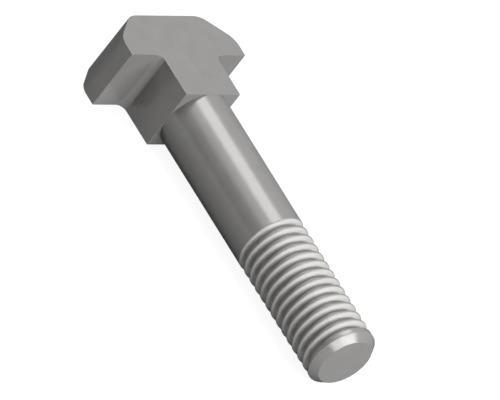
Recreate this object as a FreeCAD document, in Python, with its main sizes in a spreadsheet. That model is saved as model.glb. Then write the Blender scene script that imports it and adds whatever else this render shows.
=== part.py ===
import FreeCAD, Part
import Sketcher
import os

# A bolt with a hammer head and a square neck, for the T slot of a clamping plate.
#
# The bolt is one piece of steel: the head and the neck are forged, the shank and the point are
# turned, and the thread is a right-hand helix. The body is drawn with the bolt's axis along +X and
# the plane under the head's wings at X = 0, and is then placed as it lies on a bench: on the broad
# side of its head and neck, with the origin under the middle of its footprint.

NODE = "t_slot_bolt"
TOLERANCE = 1e-4

# A sketch's own numbers for a line's two ends, for its origin point and for its two axes.
START, END = range(1, 3)
X_AXIS, Y_AXIS = range(-1, -3, -1)
ORIGIN_POINT = (X_AXIS, START)

doc = FreeCAD.newDocument("TSlotBolt")

# Driving sizes, in millimetres and degrees, each with what it measures.
sheet = doc.addObject("Spreadsheet::Sheet", "Sizes")
DRIVING_SIZES = [
    ("head_length", 21.0, "head, from wing tip to wing tip"),
    ("head_height", 7.0, "head, along the bolt's axis"),
    ("head_chamfer", 4.0, "slope at each outer corner of the head, at 45 degrees"),
    ("head_blend", 3.0, "radius where that slope meets the head's top and its end"),
    ("neck_width", 10.0, "square neck across flats, and the head's narrow width"),
    ("neck_length", 7.0, "square neck, from under the head"),
    ("neck_fillet", 1.15, "radius between a wing and the neck"),
    ("shank_diameter", 10.0, "round shank"),
    ("bolt_length", 50.0, "from under the head to the end of the point"),
    ("point_chamfer", 1.0, "chamfer of the point, at 45 degrees"),
    ("thread_pitch", 1.5, "from one crest to the next"),
    ("crest_drop", 0.02, "from the shank's surface down to the thread's crests"),
    ("crest_taper", 0.6, "length over which the shank tapers down by that much"),
    ("crest_of_pitch", 0.125, "flat on a crest, as a part of the pitch"),
    ("root_of_pitch", 0.18, "flat in a root, as a part of the pitch"),
    ("flank_angle", 30.0, "each flank of the thread, from square to the axis"),
    ("thread_length", 20.87, "from the end of the point to the first root"),
    ("thread_stop", 1.37, "from the end of the point to the last root"),
]
for row, (alias, value, meaning) in enumerate(DRIVING_SIZES, start=1):
    sheet.set(f"A{row}", meaning)
    sheet.set(f"B{row}", str(value))
    sheet.setAlias(f"B{row}", alias)
doc.recompute()

body = doc.addObject("PartDesign::Body", NODE)
body.Label = NODE


def origin_feature(role):
    """The body's own origin plane or axis with this role."""
    return next(item for item in body.Origin.OriginFeatures if item.Role == role)


def new_sketch(name):
    """An empty sketch on the body's XY plane, which holds the bolt's axis."""
    sketch = body.newObject("Sketcher::SketchObject", name)
    sketch.AttachmentSupport = [(origin_feature("XY_Plane"), "")]
    sketch.MapMode = "FlatFace"
    return sketch


def add_outline(sketch, points):
    """A closed outline of straight lines: line i runs from point i to the next one."""
    count = len(points)
    for i in range(count):
        start = FreeCAD.Vector(*points[i], 0)
        end = FreeCAD.Vector(*points[(i + 1) % count], 0)
        sketch.addGeometry(Part.LineSegment(start, end), False)
    for i in range(count):
        sketch.addConstraint(Sketcher.Constraint("Coincident", i, END, (i + 1) % count, START))


def add_size(sketch, kind, geometry, value, expression):
    """A dimension that follows an expression of the driving sizes."""
    index = sketch.addConstraint(Sketcher.Constraint(kind, *geometry, value))
    sketch.setExpression(f"Constraints[{index}]", expression)


def finish_sketch(sketch):
    """Solve a sketch and stop if it is not fully constrained."""
    doc.recompute()
    if sketch.solve() != 0 or sketch.FullyConstrained is False:
        raise RuntimeError(f"{sketch.Label} is not fully constrained")


def edges_across(feature, places):
    """The names of a feature's edges that run along Z through the given (x, y) places."""
    names = []
    for number, edge in enumerate(feature.Shape.Edges, start=1):
        low, high = edge.Vertexes[0].Point, edge.Vertexes[-1].Point
        upright = abs(low.x - high.x) < TOLERANCE and abs(low.y - high.y) < TOLERANCE
        if upright and any(abs(low.x - x) < TOLERANCE and abs(low.y - y) < TOLERANCE for x, y in places):
            names.append(f"Edge{number}")
    if len(names) != len(places):
        raise RuntimeError(f"{feature.Label}: found {len(names)} edges for {len(places)} places")
    return names


def add_edge_feature(kind, name, base, places, size_property, expression):
    """A chamfer or fillet of the base feature's edges at the given places."""
    feature = body.newObject(f"PartDesign::{kind}", name)
    feature.Base = (base, edges_across(base, places))
    feature.setExpression(size_property, expression)
    doc.recompute()
    return feature


def check_volume(feature, before, grows):
    """Stop if a feature did not add or cut what it should."""
    change = feature.Shape.Volume - before
    if change * (1 if grows else -1) <= TOLERANCE:
        raise RuntimeError(f"{feature.Label} changed the volume by {change:.3f}")


# Head and neck: one T outline, as thick as the neck is wide.
head_top = -sheet.head_height
wing_tip = sheet.head_length / 2
neck_side = sheet.neck_width / 2
head_profile = new_sketch("HeadProfile")
add_outline(head_profile, [
    (head_top, -wing_tip),
    (head_top, wing_tip),
    (0, wing_tip),
    (0, neck_side),
    (sheet.neck_length, neck_side),
    (sheet.neck_length, -neck_side),
    (0, -neck_side),
    (0, -wing_tip),
])
TOP, RIGHT_END, RIGHT_WING, RIGHT_NECK, NECK_END, LEFT_NECK, LEFT_WING, LEFT_END = range(8)
for line in (RIGHT_WING, LEFT_WING):
    head_profile.addConstraint(Sketcher.Constraint("Vertical", line))
for line in (RIGHT_END, RIGHT_NECK, LEFT_NECK, LEFT_END):
    head_profile.addConstraint(Sketcher.Constraint("Horizontal", line))
for line in (RIGHT_NECK, LEFT_WING):
    head_profile.addConstraint(Sketcher.Constraint("PointOnObject", line, START, Y_AXIS))
for line in (TOP, NECK_END):
    head_profile.addConstraint(Sketcher.Constraint("Symmetric", line, START, line, END, X_AXIS))
add_size(head_profile, "DistanceY", (TOP, START, TOP, END), sheet.head_length, "Sizes.head_length")
add_size(head_profile, "DistanceX", (RIGHT_END, START, RIGHT_END, END), sheet.head_height,
         "Sizes.head_height")
add_size(head_profile, "DistanceX", (RIGHT_NECK, START, RIGHT_NECK, END), sheet.neck_length,
         "Sizes.neck_length")
add_size(head_profile, "DistanceY", (NECK_END, END, NECK_END, START), sheet.neck_width,
         "Sizes.neck_width")
finish_sketch(head_profile)

head = body.newObject("PartDesign::Pad", "HeadAndNeck")
head.Profile = head_profile
head.SideType = "Symmetric"
head.setExpression("Length", "Sizes.neck_width")
doc.recompute()
check_volume(head, 0, grows=True)

# The outer corners of the head slope at 45 degrees, with a blend at both ends of each slope.
volume = head.Shape.Volume
corner_slopes = add_edge_feature("Chamfer", "CornerSlopes", head,
                                 [(head_top, -wing_tip), (head_top, wing_tip)],
                                 "Size", "Sizes.head_chamfer")
check_volume(corner_slopes, volume, grows=False)
slope_ends = [(head_top, side * (wing_tip - sheet.head_chamfer)) for side in (-1, 1)]
slope_ends += [(head_top + sheet.head_chamfer, side * wing_tip) for side in (-1, 1)]
volume = corner_slopes.Shape.Volume
slope_blends = add_edge_feature("Fillet", "SlopeBlends", corner_slopes, slope_ends,
                                "Radius", "Sizes.head_blend")
check_volume(slope_blends, volume, grows=False)

# A small radius strengthens the corner between each wing and the neck.
volume = slope_blends.Shape.Volume
neck_fillets = add_edge_feature("Fillet", "NeckFillets", slope_blends,
                                [(0, -neck_side), (0, neck_side)],
                                "Radius", "Sizes.neck_fillet")
check_volume(neck_fillets, volume, grows=True)

# Shank and point: half an outline, turned about the bolt's axis. The thread's crests lie a hair
# below the plain shank, which tapers down to them just before the first turn.
shank_radius = sheet.shank_diameter / 2
crest_radius = shank_radius - sheet.crest_drop
first_root = sheet.bolt_length - sheet.thread_length
first_crest = first_root - sheet.thread_pitch / 2
shank_profile = new_sketch("ShankProfile")
add_outline(shank_profile, [
    (sheet.neck_length, 0),
    (sheet.bolt_length, 0),
    (sheet.bolt_length, crest_radius - sheet.point_chamfer),
    (sheet.bolt_length - sheet.point_chamfer, crest_radius),
    (first_crest, crest_radius),
    (first_crest - sheet.crest_taper, shank_radius),
    (sheet.neck_length, shank_radius),
])
AXIS_LINE, POINT_FACE, POINT_SLOPE, THREAD_SIDE, TAPER, SHANK_SIDE, SHANK_START = range(7)
for line in (AXIS_LINE, THREAD_SIDE, SHANK_SIDE):
    shank_profile.addConstraint(Sketcher.Constraint("Horizontal", line))
for line in (POINT_FACE, SHANK_START):
    shank_profile.addConstraint(Sketcher.Constraint("Vertical", line))
shank_profile.addConstraint(Sketcher.Constraint("PointOnObject", AXIS_LINE, START, X_AXIS))
add_size(shank_profile, "DistanceX", (*ORIGIN_POINT, AXIS_LINE, START), sheet.neck_length,
         "Sizes.neck_length")
add_size(shank_profile, "DistanceX", (*ORIGIN_POINT, AXIS_LINE, END), sheet.bolt_length,
         "Sizes.bolt_length")
add_size(shank_profile, "DistanceY", (SHANK_START, END, SHANK_START, START), shank_radius,
         "Sizes.shank_diameter / 2")
add_size(shank_profile, "DistanceX", (POINT_SLOPE, END, POINT_SLOPE, START), sheet.point_chamfer,
         "Sizes.point_chamfer")
add_size(shank_profile, "DistanceY", (POINT_SLOPE, START, POINT_SLOPE, END), sheet.point_chamfer,
         "Sizes.point_chamfer")
add_size(shank_profile, "DistanceX", (*ORIGIN_POINT, TAPER, START), first_crest,
         "Sizes.bolt_length - Sizes.thread_length - Sizes.thread_pitch / 2")
add_size(shank_profile, "DistanceX", (TAPER, END, TAPER, START), sheet.crest_taper,
         "Sizes.crest_taper")
add_size(shank_profile, "DistanceY", (*ORIGIN_POINT, TAPER, START), crest_radius,
         "Sizes.shank_diameter / 2 - Sizes.crest_drop")
finish_sketch(shank_profile)

volume = neck_fillets.Shape.Volume
shank = body.newObject("PartDesign::Revolution", "Shank")
shank.Profile = shank_profile
shank.ReferenceAxis = (shank_profile, ["H_Axis"])
shank.Angle = 360
doc.recompute()
check_volume(shank, volume, grows=True)

# Thread: a trapezium that follows a helix. Its flanks run on a little past the crests, so that
# it cuts clear of the shank's surface without meeting the next turn.
thread_groove = new_sketch("ThreadGroove")
root_radius = crest_radius - sheet.thread_pitch / 2
cut_radius = crest_radius + sheet.thread_pitch * sheet.crest_of_pitch / 4
half_root = sheet.thread_pitch * sheet.root_of_pitch / 2
half_mouth = sheet.thread_pitch / 2
add_outline(thread_groove, [
    (first_root - half_root, root_radius),
    (first_root + half_root, root_radius),
    (first_root + half_mouth, cut_radius),
    (first_root - half_mouth, cut_radius),
])
ROOT, TIP_FLANK, MOUTH, HEAD_FLANK, MIDLINE = range(5)
thread_groove.addGeometry(
    Part.LineSegment(FreeCAD.Vector(first_root, 0, 0), FreeCAD.Vector(first_root, cut_radius, 0)), True)
thread_groove.addConstraint(Sketcher.Constraint("PointOnObject", MIDLINE, START, X_AXIS))
thread_groove.addConstraint(Sketcher.Constraint("Vertical", MIDLINE))
thread_groove.addConstraint(Sketcher.Constraint("PointOnObject", MIDLINE, END, MOUTH))
for line in (ROOT, MOUTH):
    thread_groove.addConstraint(Sketcher.Constraint("Symmetric", line, START, line, END, MIDLINE))
CREST_OVER = "Sizes.thread_pitch * Sizes.crest_of_pitch / 2"
add_size(thread_groove, "DistanceX", (*ORIGIN_POINT, MIDLINE, START), first_root,
         "Sizes.bolt_length - Sizes.thread_length")
add_size(thread_groove, "DistanceX", (ROOT, START, ROOT, END), 2 * half_root,
         "Sizes.thread_pitch * Sizes.root_of_pitch")
add_size(thread_groove, "DistanceX", (MOUTH, END, MOUTH, START), 2 * half_mouth,
         f"Sizes.thread_pitch - {CREST_OVER}")
add_size(thread_groove, "DistanceY", (*ORIGIN_POINT, MIDLINE, END), cut_radius,
         f"Sizes.shank_diameter / 2 - Sizes.crest_drop + {CREST_OVER} / (2 * tan(Sizes.flank_angle))")
add_size(thread_groove, "DistanceY", (ROOT, END, MOUTH, START), cut_radius - root_radius,
         f"(Sizes.thread_pitch * (1 - Sizes.root_of_pitch) - {CREST_OVER}) / (2 * tan(Sizes.flank_angle))")
finish_sketch(thread_groove)

volume = shank.Shape.Volume
thread = body.newObject("PartDesign::SubtractiveHelix", "Thread")
thread.Profile = thread_groove
thread.ReferenceAxis = (thread_groove, ["H_Axis"])
thread.Mode = "pitch-height-angle"
thread.LeftHanded = False
thread.setExpression("Pitch", "Sizes.thread_pitch")
thread.setExpression("Height", "Sizes.thread_length - Sizes.thread_stop")
doc.recompute()
check_volume(thread, volume, grows=False)
body.Tip = thread

# The bolt lies on its broad side: the middle of its footprint is at the origin.
body.setExpression("Placement.Base.x", "(Sizes.head_height - Sizes.bolt_length) / 2")
body.setExpression("Placement.Base.z", "max(Sizes.neck_width; Sizes.shank_diameter) / 2")
doc.recompute()

for item in doc.Objects:
    if {"Invalid", "Error"} & set(item.State):
        raise RuntimeError(f"{item.Label} failed: {item.State}")
shape = body.Shape
if shape.isNull() or not shape.isValid() or len(shape.Solids) != 1:
    raise RuntimeError(f"{body.Label} is not one valid solid")

os.makedirs("parts", exist_ok=True)
shape.exportStep(f"parts/{body.Label}.step")
print(f"{body.Label}: volume {shape.Volume:.2f} mm3, box {shape.BoundBox}")
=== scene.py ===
import bmesh
import bpy
import math
from mathutils import Matrix, Vector


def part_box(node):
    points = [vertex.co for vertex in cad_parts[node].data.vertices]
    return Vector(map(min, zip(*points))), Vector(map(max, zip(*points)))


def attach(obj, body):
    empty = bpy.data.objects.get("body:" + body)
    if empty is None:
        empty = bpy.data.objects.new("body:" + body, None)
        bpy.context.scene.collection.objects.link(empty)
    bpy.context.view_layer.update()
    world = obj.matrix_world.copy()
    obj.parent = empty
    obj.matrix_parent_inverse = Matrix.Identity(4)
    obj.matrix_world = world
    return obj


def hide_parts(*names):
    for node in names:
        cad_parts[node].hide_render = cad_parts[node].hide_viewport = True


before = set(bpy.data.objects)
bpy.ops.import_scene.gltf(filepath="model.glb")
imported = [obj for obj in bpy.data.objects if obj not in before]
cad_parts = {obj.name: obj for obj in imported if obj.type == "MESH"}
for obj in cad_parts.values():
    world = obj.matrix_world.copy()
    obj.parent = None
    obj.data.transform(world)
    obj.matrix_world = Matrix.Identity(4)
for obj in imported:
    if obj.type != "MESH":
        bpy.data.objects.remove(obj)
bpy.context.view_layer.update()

# The bolt, one piece of steel. The hammer head and the square neck are forged to one flat T, the
# shank and the point are turned, and the right-hand thread is rolled. The head drops into a T slot
# through its throat and takes a quarter turn, and the square neck then keeps it from turning.
MM = 0.001
NODE = "t_slot_bolt"
low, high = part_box(NODE)
overall_length = (high.x - low.x) / MM
head_length = (high.y - low.y) / MM
neck_width = (high.z - low.z) / MM

# Sizes in millimetres. Lengths along the bolt count from the underside of the head.
head_height = 7.0
neck_length = 7.0
corner_slope = 4.0
slope_blend = 3.0
neck_fillet = 1.15
edge_break = 0.08
corner_break = 0.14
bolt_length = overall_length - head_height
shank_radius = neck_width / 2 - 0.015
point_slope = 1.0
point_break = 0.05
thread_pitch = 1.5
crest_flat = thread_pitch / 8
crest_break = 0.12
root_radius = 0.1443 * thread_pitch
flank = math.radians(30)
first_root = bolt_length - 20.87
turns = 13

# The groove's depth grows and fades over these degrees, before its first and after its last turn.
fade_in = (-130, 50)
fade_out = (235, 350)
STEPS_ROUND = 144
ARC_STEPS = 12


def turned_corner(before, corner, after, radius, steps):
    """Points of the arc that rounds a corner of an outline."""
    to_before = (before - corner).normalized()
    to_after = (after - corner).normalized()
    half = to_before.angle(to_after) / 2
    reach = radius / math.tan(half)
    centre = corner + (to_before + to_after).normalized() * (radius / math.sin(half))
    start = corner + to_before * reach - centre
    turn = start.angle_signed(corner + to_after * reach - centre)
    return [centre + Matrix.Rotation(-turn * i / steps, 2) @ start for i in range(steps + 1)]


def t_outline(inset):
    """The T of head and neck in the bolt's plane, moved inwards by inset, with its corners round."""
    top, tip, side = -head_height, head_length / 2, neck_width / 2
    half = [
        (top, tip - corner_slope, slope_blend, ARC_STEPS),
        (top + corner_slope, tip, slope_blend, ARC_STEPS),
        (0, tip, corner_break, 3),
        (0, side, -neck_fillet, ARC_STEPS),
        (neck_length, side, corner_break, 3),
    ]
    corners = half + [(x, -y, radius, steps) for x, y, radius, steps in reversed(half)]
    points = [Vector(corner[:2]) for corner in corners]
    count = len(points)
    moved = []
    for i, point in enumerate(points):
        back = (point - points[i - 1]).normalized()
        on = (points[(i + 1) % count] - point).normalized()
        inward_back = Vector((back.y, -back.x))
        inward_on = Vector((on.y, -on.x))
        bisector = (inward_back + inward_on).normalized()
        moved.append(point + bisector * (inset / bisector.dot(inward_on)))
    outline = []
    for i, (_, _, radius, steps) in enumerate(corners):
        size = radius - inset if radius > 0 else -radius + inset
        outline += turned_corner(moved[i - 1], moved[i], moved[(i + 1) % count], size, steps)
    return outline


def mesh_object(name, points, faces):
    """An object from points in millimetres in the bolt's own frame, moved to where the bolt lies."""
    place = Vector((low.x + head_height * MM, 0, neck_width / 2 * MM))
    mesh = bpy.data.meshes.new(name)
    mesh.from_pydata([Vector(point) * MM + place for point in points], [], faces)
    tidy = bmesh.new()
    tidy.from_mesh(mesh)
    bmesh.ops.remove_doubles(tidy, verts=tidy.verts, dist=1e-4 * MM)
    bmesh.ops.dissolve_degenerate(tidy, edges=tidy.edges, dist=1e-5 * MM)
    bmesh.ops.recalc_face_normals(tidy, faces=tidy.faces)
    tidy.to_mesh(mesh)
    tidy.free()
    made = bpy.data.objects.new(name, mesh)
    bpy.context.scene.collection.objects.link(made)
    return made


def head_and_neck():
    """The forged T: its outline as thick as the neck is wide, with broken edges."""
    rings = []
    for side in (-1, 1):
        for i in range(4) if side < 0 else range(3, -1, -1):
            angle = math.pi / 2 * (1 - i / 3)
            inset = edge_break * (1 - math.cos(angle))
            height = neck_width / 2 - edge_break * (1 - math.sin(angle))
            rings.append([(p.x, p.y, side * height) for p in t_outline(inset)])
    count = len(rings[0])
    points = [point for ring in rings for point in ring]
    faces = [list(range(count)), list(range((len(rings) - 1) * count, len(rings) * count))]
    for r in range(len(rings) - 1):
        for i in range(count):
            j = (i + 1) % count
            faces.append((r * count + i, r * count + j, (r + 1) * count + j, (r + 1) * count + i))
    return mesh_object("head_and_neck", points, faces)


def groove_profile():
    """Half the thread's groove, from the crest's middle to the root: (along the axis, depth)."""
    half_mouth = (thread_pitch - crest_flat) / 2
    depth = half_mouth / math.tan(flank) - root_radius
    half = [(thread_pitch / 2, 0)]
    steps = 3
    turn = math.pi / 2 - flank
    reach = crest_break * math.tan(turn / 2)
    for i in range(steps + 1):
        angle = turn * i / steps
        half.append((half_mouth + reach - crest_break * math.sin(angle),
                     crest_break * (1 - math.cos(angle))))
    half.append(((half_mouth + root_radius * math.cos(flank)) / 2,
                 (depth - root_radius * (1 - math.sin(flank))) / 2))
    steps = 4
    for i in range(steps + 1):
        angle = turn * (1 - i / steps)
        half.append((root_radius * math.sin(angle), depth - root_radius * (1 - math.cos(angle))))
    return [(-along, deep) for along, deep in half] + [pair for pair in reversed(half)][1:]


def smooth_step(value):
    """0 to 1 with an easy start and end."""
    value = min(max(value, 0), 1)
    return value * value * (3 - 2 * value)


def shank_and_thread():
    """The turned shank with its helical thread and its point, closed at both ends."""
    profile = groove_profile()
    per_turn = len(profile) - 1
    ring_start = first_root - 1.4 * thread_pitch
    ring_end = bolt_length - point_slope - point_break
    points = []
    index = {}
    for g in range(-3 * STEPS_ROUND, (turns + 3) * STEPS_ROUND + 1):
        degrees = 360 * g / STEPS_ROUND
        grow = smooth_step((degrees - fade_in[0]) / (fade_in[1] - fade_in[0]))
        last = 360 * (turns - 1)
        grow *= 1 - smooth_step((degrees - last - fade_out[0]) / (fade_out[1] - fade_out[0]))
        angle = math.radians(degrees)
        middle = first_root + thread_pitch * degrees / 360
        for i, (along, deep) in enumerate(profile[:-1]):
            if i > 0:
                along *= grow
            x = min(max(middle + along, ring_start), ring_end)
            radius = shank_radius - deep * grow
            index[g, i] = len(points)
            points.append((x, radius * math.cos(angle), radius * math.sin(angle)))
    faces = []
    for g in range(-3 * STEPS_ROUND, (turns + 2) * STEPS_ROUND):
        for i in range(per_turn):
            a, b = index[g, i], index[g + 1, i]
            if i + 1 < per_turn:
                c, d = index[g + 1, i + 1], index[g, i + 1]
            else:
                c, d = index.get((g + 1 + STEPS_ROUND, 0)), index.get((g + STEPS_ROUND, 0))
            if c is not None and d is not None:
                faces.append((a, b, c, d))
    used = {corner for face in faces for corner in face}
    start_rings = [(neck_length - 1.5, shank_radius), (ring_start, shank_radius)]
    slope = point_break / math.sqrt(2)
    end_rings = [
        (ring_end, shank_radius),
        (bolt_length - point_slope + slope, shank_radius - slope),
        (bolt_length - slope, shank_radius - point_slope + slope),
        (bolt_length, shank_radius - point_slope - point_break),
    ]
    for rings in (start_rings, end_rings):
        base = len(points)
        for x, radius in rings:
            for j in range(STEPS_ROUND):
                angle = math.radians(360 * j / STEPS_ROUND)
                points.append((x, radius * math.cos(angle), radius * math.sin(angle)))
        for r in range(len(rings) - 1):
            for j in range(STEPS_ROUND):
                k = (j + 1) % STEPS_ROUND
                row = base + r * STEPS_ROUND
                faces.append((row + j, row + k, row + STEPS_ROUND + k, row + STEPS_ROUND + j))
        cap = base if rings is start_rings else base + (len(rings) - 1) * STEPS_ROUND
        faces.append(tuple(cap + j for j in range(STEPS_ROUND)))
    used.update(corner for face in faces for corner in face)
    order = sorted(used)
    place = {old: new for new, old in enumerate(order)}
    faces = [tuple(place[corner] for corner in face) for face in faces]
    return mesh_object("shank", [points[old] for old in order], faces)


def lean_to_larger_faces(mesh, most):
    """Normals that follow the larger faces, so that flats stay flat beside their broken edges."""
    around = [[] for _ in mesh.vertices]
    for face in mesh.polygons:
        for corner in face.vertices:
            around[corner].append((face.normal.copy(), face.area))
    normals = []
    for face in mesh.polygons:
        for corner in face.vertices:
            near = [normal * area for normal, area in around[corner]
                    if normal.dot(face.normal) > math.cos(most)]
            normals.append(sum(near, Vector((0, 0, 0))).normalized())
    mesh.normals_split_custom_set(normals)


bolt = head_and_neck()
bolt.name = "bolt"
shank = shank_and_thread()
join = bolt.modifiers.new("join", "BOOLEAN")
join.operation = "UNION"
join.solver = "EXACT"
join.object = shank
graph = bpy.context.evaluated_depsgraph_get()
joined = bpy.data.meshes.new_from_object(bolt.evaluated_get(graph))
bolt.modifiers.clear()
bolt.data = joined
bpy.data.objects.remove(shank)
for face in joined.polygons:
    face.use_smooth = True
sharp_angle = math.radians(40)
joined.set_sharp_from_angle(angle=sharp_angle)
lean_to_larger_faces(joined, sharp_angle)


def add_node(tree, kind, sockets, **settings):
    """A shader node with its settings, and with a number, a colour or a link in each named socket."""
    made = tree.nodes.new(kind)
    for name, value in settings.items():
        setattr(made, name, value)
    for name, value in sockets.items():
        if isinstance(value, bpy.types.NodeSocket):
            tree.links.new(value, made.inputs[name])
        else:
            made.inputs[name].default_value = value
    return made


def spread(tree, value, least, most):
    """A noise value, which keeps near the middle, stretched to run from least to most."""
    sockets = {"Value": value, "From Min": 0.3, "From Max": 0.7, "To Min": least, "To Max": most}
    return add_node(tree, "ShaderNodeMapRange", sockets).outputs["Result"]


def noise(tree, position, scale, detail):
    sockets = {"Vector": position, "Scale": scale, "Detail": detail}
    return add_node(tree, "ShaderNodeTexNoise", sockets).outputs[0]


def reckon(tree, operation, first, second):
    """The value that one step of arithmetic gives."""
    return add_node(tree, "ShaderNodeMath", {0: first, 1: second}, operation=operation).outputs["Value"]


def product(tree, first, second):
    return reckon(tree, "MULTIPLY", first, second)


def new_group(name, inputs, outputs):
    """An empty node group with vector inputs and number outputs."""
    group = bpy.data.node_groups.new(name, "ShaderNodeTree")
    for socket in inputs:
        group.interface.new_socket(socket, in_out="INPUT", socket_type="NodeSocketVector")
    for socket in outputs:
        group.interface.new_socket(socket, in_out="OUTPUT", socket_type="NodeSocketFloat")
    return group, group.nodes.new("NodeGroupInput"), group.nodes.new("NodeGroupOutput")


def steel_grain():
    """Cloudy tone, uneven gloss and a fine grain, as bare steel has under a film of oil."""
    group, given, out = new_group("steel grain", ["Position"], ["Tone", "Roughness", "Height"])
    position = given.outputs["Position"]
    cloud = noise(group, position, 0.4, 4)
    grain = noise(group, position, 9, 2)
    tone = product(group, spread(group, cloud, 0.97, 1.03), spread(group, grain, 0.985, 1.015))
    group.links.new(tone, out.inputs["Tone"])
    rough = product(group, spread(group, cloud, 0.93, 1.07), spread(group, grain, 0.95, 1.05))
    group.links.new(rough, out.inputs["Roughness"])
    group.links.new(grain, out.inputs["Height"])
    return group


def turned_rings():
    """The lathe's fine rings, and a mask of painted light that makes the thread's flanks paler than the
    shank.
    """
    group, given, out = new_group("turned rings", ["Position"], ["Rings", "Painted Flank Light"])
    apart = add_node(group, "ShaderNodeSeparateXYZ", {"Vector": given.outputs["Position"]})
    side = apart.outputs["Y"]
    rise = reckon(group, "SUBTRACT", apart.outputs["Z"], neck_width / 2)
    squares = reckon(group, "ADD", product(group, side, side), product(group, rise, rise))
    radius = reckon(group, "POWER", squares, 0.5)
    along = reckon(group, "SUBTRACT", apart.outputs["X"], radius)
    stretched = {"X": product(group, along, 5),
                 "Y": product(group, side, 0.12),
                 "Z": product(group, rise, 0.12)}
    rings = noise(group, add_node(group, "ShaderNodeCombineXYZ", stretched).outputs["Vector"], 1, 3)
    group.links.new(rings, out.inputs["Rings"])
    # Painted light: the tone is lifted by groove depth, none on the crest, most down the flanks, less in
    # the root.
    depth = reckon(group, "SUBTRACT", shank_radius, radius)
    ramp = add_node(group, "ShaderNodeValToRGB", {"Fac": depth})
    stops = ramp.color_ramp.elements
    stops.new(0.17)
    stops.new(0.72)
    for stop, (place, value) in zip(stops, ((0.02, 0), (0.17, 0.75), (0.72, 1), (0.92, 0.2))):
        stop.position = place
        stop.color = (value, value, value, 1)
    point = {"Value": apart.outputs["X"], "From Min": overall_length / 2 - point_slope - 0.25,
             "From Max": overall_length / 2 - point_slope - 0.15, "To Min": 1, "To Max": 0}
    before_point = add_node(group, "ShaderNodeMapRange", point).outputs["Result"]
    group.links.new(product(group, ramp.outputs["Color"], before_point), out.inputs["Painted Flank Light"])
    return group


def steel(name, rings_group=None):
    """Bare satin steel with its grain; where turned, with its rings, duller flanks and painted flank
    light.
    """
    made = bpy.data.materials.new(name)
    made.use_nodes = True
    tree = made.node_tree
    surface = tree.nodes["Principled BSDF"]
    surface.inputs["Metallic"].default_value = 0.19
    surface.inputs["Specular IOR Level"].default_value = 0
    surface.inputs["Specular Tint"].default_value = (0.1, 0.1, 0.1, 1)
    where = tree.nodes.new("ShaderNodeTexCoord").outputs["Object"]
    position = add_node(tree, "ShaderNodeVectorMath", {0: where, "Scale": 1 / MM},
                        operation="SCALE").outputs["Vector"]
    grain = add_node(tree, "ShaderNodeGroup", {}, node_tree=grain_group)
    tree.links.new(position, grain.inputs["Position"])
    tone, gloss, height = (grain.outputs[key] for key in ("Tone", "Roughness", "Height"))
    if rings_group:
        turned = add_node(tree, "ShaderNodeGroup", {}, node_tree=rings_group)
        tree.links.new(position, turned.inputs["Position"])
        rings = turned.outputs["Rings"]
        tone = product(tree, tone, spread(tree, rings, 0.985, 1.015))
        # Painted light: the flanks' base colour is lifted to up to 2.4 times the shank's.
        flank_light_lift = {"Value": turned.outputs["Painted Flank Light"], "To Min": 1, "To Max": 2.4}
        tone = product(tree, tone, add_node(tree, "ShaderNodeMapRange", flank_light_lift).outputs["Result"])
        sheen = {"Value": turned.outputs["Painted Flank Light"], "To Min": 0.19, "To Max": 0.08}
        sheen = add_node(tree, "ShaderNodeMapRange", sheen).outputs["Result"]
        tree.links.new(sheen, surface.inputs["Metallic"])
        height = reckon(tree, "ADD", product(tree, height, 0.3), rings)
    colour = add_node(tree, "ShaderNodeVectorMath", {0: (0.294, 0.29, 0.284), "Scale": tone},
                      operation="SCALE").outputs["Vector"]
    tree.links.new(colour, surface.inputs["Base Color"])
    tree.links.new(product(tree, gloss, 0.25), surface.inputs["Roughness"])
    bump = add_node(tree, "ShaderNodeBump", {"Height": height, "Strength": 0.12, "Distance": 0.01 * MM})
    tree.links.new(bump.outputs["Normal"], surface.inputs["Normal"])
    return made


grain_group = steel_grain()
joined.materials.clear()
joined.materials.append(steel("forged steel"))
joined.materials.append(steel("turned steel", turned_rings()))
neck_end = low.x + (head_height + neck_length) * MM
for face in joined.polygons:
    face.material_index = 1 if face.center.x > neck_end + 1e-6 else 0

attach(bolt, "root")
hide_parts(NODE)

# The floor, a plain sheet of white paper far larger than the bolt, which lies on it. It is white
# to the camera and in the steel, where its light is its own, and throws hardly any light back up,
# so that the bolt's shadow stays and its sides keep their tone.
floor_mesh = bpy.data.meshes.new("floor")
reach, under = 3.0, -2e-5
edge = [(-reach, -reach, under), (reach, -reach, under), (reach, reach, under), (-reach, reach, under)]
floor_mesh.from_pydata(edge, [], [(0, 1, 2, 3)])
floor = bpy.data.objects.new("floor", floor_mesh)
bpy.context.scene.collection.objects.link(floor)


def seen_white(tree, strength, share=None):
    """The brightness seen by the camera, through glass and in reflections, which lights nothing."""
    path = tree.nodes.new("ShaderNodeLightPath").outputs
    glossy = path["Is Glossy Ray"]
    if share is not None:
        glossy = product(tree, glossy, share)
    seen = reckon(tree, "MAXIMUM", path["Is Camera Ray"], glossy)
    seen = reckon(tree, "MAXIMUM", seen, path["Is Transmission Ray"])
    return product(tree, seen, strength)


paper = bpy.data.materials.new("white paper")
paper.use_nodes = True
surface = paper.node_tree.nodes["Principled BSDF"]
surface.inputs["Base Color"].default_value = (0.12, 0.12, 0.12, 1)
surface.inputs["Roughness"].default_value = 0.9
surface.inputs["Emission Color"].default_value = (1, 1, 1, 1)
paper.node_tree.links.new(seen_white(paper.node_tree, 0.92), surface.inputs["Emission Strength"])
floor_mesh.materials.append(paper)

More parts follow.
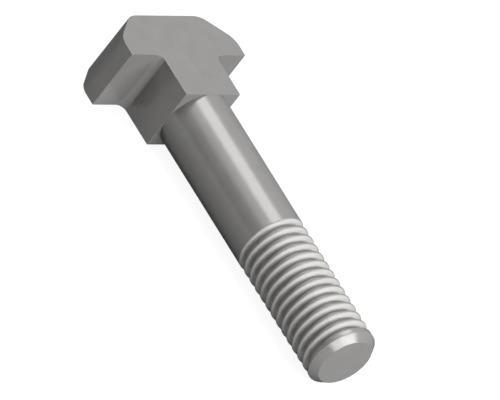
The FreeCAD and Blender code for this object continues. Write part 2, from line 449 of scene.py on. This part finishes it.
# The camera and the light. The camera looks along parallel lines, as a drawing's does, from the
# point's end and above. Five soft boxes hang half a metre from the bolt: one overhead draws the
# bright line along the shank, and two in front draw the gleam on the slope of the point.
turn, tilt, roll = math.radians(34.22), math.radians(31.78), math.radians(38.36)
target = Vector((-3.16, 5.36, 1.86)) * MM
view_width = 65.96 * MM
away = 0.5
back = Vector((math.sin(turn) * math.cos(tilt), -math.cos(turn) * math.cos(tilt), math.sin(tilt)))
camera_data = bpy.data.cameras.new("camera")
camera = bpy.data.objects.new("camera", camera_data)
bpy.context.scene.collection.objects.link(camera)
camera_data.type = "ORTHO"
camera_data.ortho_scale = view_width
camera.location = target + back * away
camera.rotation_mode = "QUATERNION"
level = (-back).to_track_quat("-Z", "Y")
camera.rotation_quaternion = level @ Matrix.Rotation(roll, 4, "Z").to_quaternion()
bpy.context.scene.camera = camera


def lamp(name, azimuth, elevation, width, height, radiance):
    """A soft box half a metre from the bolt; azimuth is turned from +X towards +Y."""
    around, up = math.radians(azimuth), math.radians(elevation)
    direction = Vector((math.cos(around) * math.cos(up), math.sin(around) * math.cos(up), math.sin(up)))
    data = bpy.data.lights.new(name, "AREA")
    data.shape = "RECTANGLE"
    data.size = width
    data.size_y = height
    data.energy = radiance * math.pi * width * height
    made = bpy.data.objects.new(name, data)
    bpy.context.scene.collection.objects.link(made)
    made.location = direction * away
    across = Vector((-math.sin(around), math.cos(around), 0))
    facing = Matrix((across, direction.cross(across), direction)).transposed()
    made.rotation_mode = "QUATERNION"
    made.rotation_quaternion = facing.to_quaternion()


lamp("overhead", 180, 63, 0.27, 0.27, 6.9)
lamp("high", 95, 72, 0.26, 0.26, 0.8)
lamp("back", -141, 49, 0.3, 0.24, 1.75)
lamp("front", 8, 35, 0.38, 0.12, 14)
lamp("front low", -20, 19, 0.18, 0.14, 10)

# Past the floor the studio is white too, but in the steel it is dark on the camera's side.
world = bpy.data.worlds.new("studio")
world.use_nodes = True
studio = world.node_tree
backdrop = studio.nodes["Background"]
backdrop.inputs["Color"].default_value = (1, 1, 1, 1)
direction = studio.nodes.new("ShaderNodeTexCoord").outputs["Generated"]
far_side = add_node(studio, "ShaderNodeVectorMath",
                    {0: direction, 1: (-math.sin(turn), math.cos(turn), 0)}, operation="DOT_PRODUCT")
fall = {"Value": far_side.outputs["Value"], "From Min": -0.3, "From Max": 0.5, "To Min": 0.1, "To Max": 1}
share = add_node(studio, "ShaderNodeMapRange", fall).outputs["Result"]
studio.links.new(seen_white(studio, 1.0, share), backdrop.inputs["Strength"])
bpy.context.scene.world = world
bpy.context.scene.view_settings.view_transform = "Standard"
